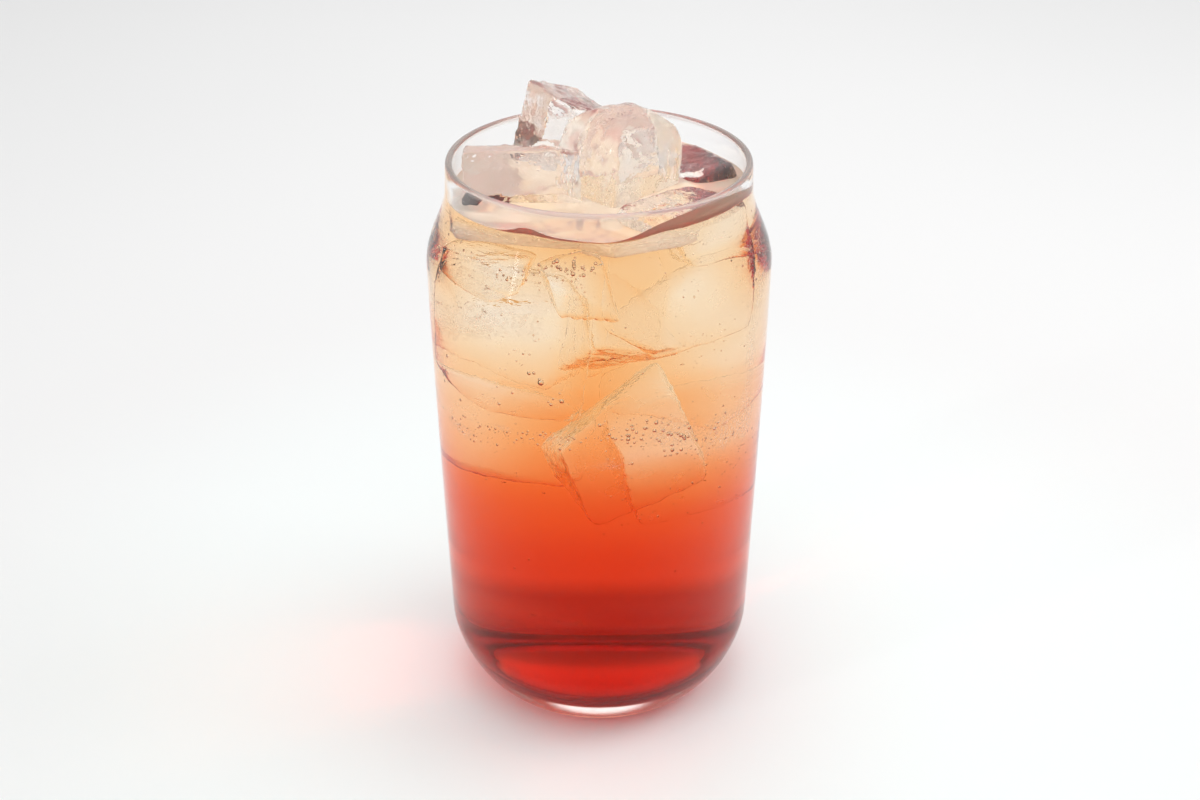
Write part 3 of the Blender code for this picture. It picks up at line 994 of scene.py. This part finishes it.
class AddBubbles(bpy.types.Operator):
    """Scatter bubbles on the wall of the glass and inside the ice"""

    bl_idname = "iced_drink.add_bubbles"
    bl_label = "Bubbles"

    # Clusters on the wall: degrees from the front, height, spread each way, count and largest radius
    CLUSTERS = (
        (-12.0, 0.1208, 0.0030, 0.0010, 22, 0.00075),
        (-6.0, 0.1214, 0.0040, 0.0008, 20, 0.00050),
        (-45.0, 0.1172, 0.0080, 0.0008, 46, 0.00034),
        (-28.0, 0.1185, 0.0060, 0.0008, 34, 0.00030),
        (-72.0, 0.1150, 0.0080, 0.0040, 90, 0.00032),
        (-19.4, 0.0982, 0.0012, 0.0012, 4, 0.00095),
        (-14.5, 0.0927, 0.0012, 0.0010, 5, 0.00090),
        (-60.0, 0.0893, 0.0050, 0.0016, 26, 0.00045),
        (-46.0, 0.0895, 0.0040, 0.0014, 16, 0.00040),
        (-56.0, 0.0785, 0.0080, 0.0010, 40, 0.00034),
        (-28.0, 0.0815, 0.0080, 0.0005, 44, 0.00030),
        (-12.0, 0.0835, 0.0070, 0.0005, 40, 0.00030),
        (11.8, 0.0857, 0.0040, 0.0018, 34, 0.00048),
        (18.7, 0.0838, 0.0040, 0.0018, 34, 0.00052),
        (28.0, 0.0799, 0.0040, 0.0020, 22, 0.00045),
        (40.0, 0.0800, 0.0060, 0.0030, 50, 0.00032),
        (60.0, 0.0700, 0.0060, 0.0050, 40, 0.00030),
        (68.0, 0.1180, 0.0050, 0.0050, 70, 0.00032),
        (15.0, 0.0660, 0.0040, 0.0030, 16, 0.00028),
        (-22.3, 0.0349, 0.0025, 0.0004, 16, 0.00030),
        (-3.4, 0.0348, 0.0030, 0.0004, 16, 0.00030),
        (-12.0, 0.0400, 0.0050, 0.0050, 14, 0.00020),
        (150.0, 0.1150, 0.0080, 0.0020, 40, 0.00040),
        (-140.0, 0.0900, 0.0080, 0.0030, 40, 0.00040),
    )

    # The even scatter on the wall: lowest and highest place, radii and room at the wall
    SCATTER = (0.022, 0.122)
    SMALL, SPREAD, OFF_WALL = 0.00010, 0.00018, 0.00004

    # In each block: count, spread as shares of its sides, radii and room under its skin and at the wall
    IN_BLOCK = 46
    STREAK = (0.10, 0.10, 0.24)
    TINY, TINY_SPREAD, IN_SKIN, FROM_WALL = 0.00005, 0.00017, 0.0012, 0.003

    def execute(self, context):
        settings = context.scene.iced_drink
        blocks = all_blocks()
        chance = np.random.default_rng(7)
        self.on_wall(settings, blocks, chance)
        self.in_ice(blocks, chance)
        return {"FINISHED"}

    def on_wall(self, settings, blocks, chance):
        """Bubbles close against the wall: an even scatter and denser clusters."""
        count = settings.bubble_count
        angle = [chance.uniform(-math.pi, math.pi, count)]
        height = [chance.uniform(*self.SCATTER, count)]
        size = [self.SMALL + self.SPREAD * chance.random(count) ** 3]
        for degrees, middle, wide, high, number, largest in self.CLUSTERS:
            angle.append(math.radians(degrees) + chance.normal(0.0, wide / BELLY_RADIUS, number))
            height.append(middle + chance.normal(0.0, high, number))
            size.append(largest * (0.25 + 0.75 * chance.random(number) ** 2))
        angle, height, size = (np.concatenate(values) for values in (angle, height, size))
        out = bore_radius(height) - size - self.OFF_WALL
        points = np.column_stack([out * np.sin(angle), -out * np.cos(angle), height])
        keep = clear_of_ice(points, size, blocks)
        obj = bubbles_object("drink_bubbles", points[keep], size[keep])
        dress(obj, bubble_material("Air in the drink", WATER_BEND), "soda")

    def in_ice(self, blocks, chance):
        """Tiny bubbles trapped in the ice, thickest in a streak near each block's middle."""
        points, sizes = [], []
        for block in blocks:
            spread = chance.normal(size=(self.IN_BLOCK, 3)) * block["sides"] * self.STREAK
            place = block["middle"] + spread @ block["axes"].T
            size = self.TINY + self.TINY_SPREAD * chance.random(self.IN_BLOCK) ** 2
            inside = past_block(place, block) < -size - self.IN_SKIN
            wall = bore_radius(np.clip(place[:, 2], BORE_HEEL_Z, GLASS_HEIGHT))
            inside &= np.hypot(place[:, 0], place[:, 1]) < wall - self.FROM_WALL
            points.append(place[inside])
            sizes.append(size[inside])
        obj = bubbles_object("ice_bubbles", np.concatenate(points), np.concatenate(sizes))
        dress(obj, bubble_material("Air in the ice", ICE_BEND), "ice")


class SetStage(bpy.types.Operator):
    """Lay the floor and set the lights and the camera"""

    bl_idname = "iced_drink.set_stage"
    bl_label = "Stage"

    CAMERA_DISTANCE = 0.388
    CAMERA_DROP = math.radians(29.0)
    AIM = Vector((0.0002, 0.0, 0.07293))
    FLOOR_DROP = 0.0001
    FLOOR_HALF = 2.5
    # Painted light: the floor is brighter and cooler near the glass, a pool of light that damps the pink
    # the drink casts
    POOL_OF_LIGHT_COLOUR = (0.88, 0.95, 0.95, 1.0)
    POOL_OF_LIGHT_FADE = (0.05, 0.22)
    BOUNCES = {
        "max_bounces": 160,
        "transmission_bounces": 160,
        "glossy_bounces": 12,
        "diffuse_bounces": 3,
        "transparent_max_bounces": 32,
    }

    # Lamps: name, place, aim, size both ways and share of the key lamp's power
    LAMPS = (
        ("Key lamp", (0.62, 0.06, 0.60), (0.0, 0.0, 0.06), (0.42, 0.42), 1.0),
        ("Top lamp", (0.0, 0.25, 0.55), (0.0, 0.25, 0.0), (0.40, 1.2), 0.85),
        ("Strip lamp", (-0.62, -0.40, 0.36), (0.0, 0.0, 0.09), (0.03, 0.50), 0.30),
    )

    def execute(self, context):
        settings = context.scene.iced_drink
        self.lay_floor(settings)
        self.hang_lights(settings)
        self.light_room(context, settings)
        self.place_camera(context)
        context.scene.view_settings.view_transform = "Standard"
        for name, count in self.BOUNCES.items():
            setattr(context.scene.cycles, name, count)
        context.scene.cycles.blur_glossy = 0.0
        return {"FINISHED"}

    def lay_floor(self, settings):
        """A wide pale floor with the faint tooth of matt board, and a painted pool of brighter, cooler
        light near the glass.
        """
        half, drop = self.FLOOR_HALF, -self.FLOOR_DROP
        corners = [(-half, -half, drop), (half, -half, drop), (half, half, drop), (-half, half, drop)]
        floor = mesh_object("floor", corners, np.array([[0, 1, 2, 3]]))
        material, sheet = material_sheet("Pale board")
        tooth = noise(sheet, 900.0, 1.0)
        bump = sheet.add("Bump", None, {"Strength": 0.05, "Distance": 0.0003, "Height": tooth})
        mottle = noise(sheet, 6.0, 0.0)
        pale = (*settings.floor_colour, 1.0)
        dim = (*(value * 0.985 for value in settings.floor_colour), 1.0)
        away = sheet.add("VectorMath", {"operation": "LENGTH"}, {0: place_of(sheet)}, out=1)
        colour = mix_colours(sheet, mottle, pale, dim)
        # Painted pool of brighter, cooler light near the glass
        colour = mix_colours(sheet, away.between(*self.POOL_OF_LIGHT_FADE), self.POOL_OF_LIGHT_COLOUR, colour)
        sockets = {"Base Color": colour, "Roughness": 0.7, "Normal": bump}
        finish_material(sheet, sheet.add("BsdfPrincipled", None, sockets))
        floor.data.materials.append(material)

    def hang_lights(self, settings):
        """A large soft lamp high on the right, one overhead and a tall narrow one on the left in front."""
        for name, place, aim, size, share in self.LAMPS:
            light = bpy.data.lights.new(name, "AREA")
            light.shape = "RECTANGLE"
            light.size, light.size_y = size
            light.energy = share * settings.key_light
            lamp = bpy.data.objects.new(name, light)
            lamp.location = place
            lamp.rotation_euler = (Vector(aim) - Vector(place)).to_track_quat("-Z", "Y").to_euler()
            bpy.context.scene.collection.objects.link(lamp)

    def light_room(self, context, settings):
        """A white room, brightest behind, overhead and on the right, and dimmer behind the camera."""
        world = bpy.data.worlds.new("White room")
        context.scene.world = world
        sheet = Sheet(world)
        way = sheet.add("TexCoord")
        right, back, up = (sheet.add("SeparateXYZ", None, {"Vector": way}, out=axis) for axis in range(3))
        glow = 0.67 + 0.10 * back.between(-0.9, 0.3) + 0.04 * up.between(0.2, 1.0) + 0.02 * right
        glow = glow * settings.room_light
        shader = sheet.add("Background", None, {"Color": (1.0, 1.0, 1.0, 1.0), "Strength": glow})
        sheet.add("OutputWorld", None, {"Surface": shader})

    def place_camera(self, context):
        """A camera that looks down at the front of the glass, as the photo does."""
        data = bpy.data.cameras.new("Camera")
        data.lens = 50.0
        data.sensor_width = 36.0
        data.clip_start = 0.01
        camera = bpy.data.objects.new("Camera", data)
        away = Vector((0.0, -math.cos(self.CAMERA_DROP), math.sin(self.CAMERA_DROP)))
        camera.location = self.AIM + away * self.CAMERA_DISTANCE
        camera.rotation_euler = (math.radians(90.0) - self.CAMERA_DROP, 0.0, 0.0)
        context.scene.collection.objects.link(camera)
        context.scene.camera = camera


class DrinkPanel(bpy.types.Panel):
    """Settings and steps of the drink"""

    bl_label = "Iced layered drink"
    bl_idname = "VIEW3D_PT_iced_drink"
    bl_space_type = "VIEW_3D"
    bl_region_type = "UI"
    bl_category = "Drink"

    def draw(self, context):
        layout = self.layout
        settings = context.scene.iced_drink
        for name in DrinkSettings.__annotations__:
            layout.prop(settings, name)
        for step in STEPS:
            layout.operator(step.bl_idname)


STEPS = (MakeGlass, MakeIce, PourDrink, AddBubbles, SetStage)
CLASSES = (DrinkSettings, *STEPS, DrinkPanel)


def register():
    for cls in CLASSES:
        bpy.utils.register_class(cls)
    bpy.types.Scene.iced_drink = PointerProperty(type=DrinkSettings)


def unregister():
    del bpy.types.Scene.iced_drink
    for cls in reversed(CLASSES):
        bpy.utils.unregister_class(cls)


def main():
    """Make every piece in order."""
    register()
    bpy.ops.iced_drink.make_glass()
    bpy.ops.iced_drink.make_ice()
    bpy.ops.iced_drink.pour_drink()
    bpy.ops.iced_drink.add_bubbles()
    bpy.ops.iced_drink.set_stage()


if __name__ == "__main__":
    main()
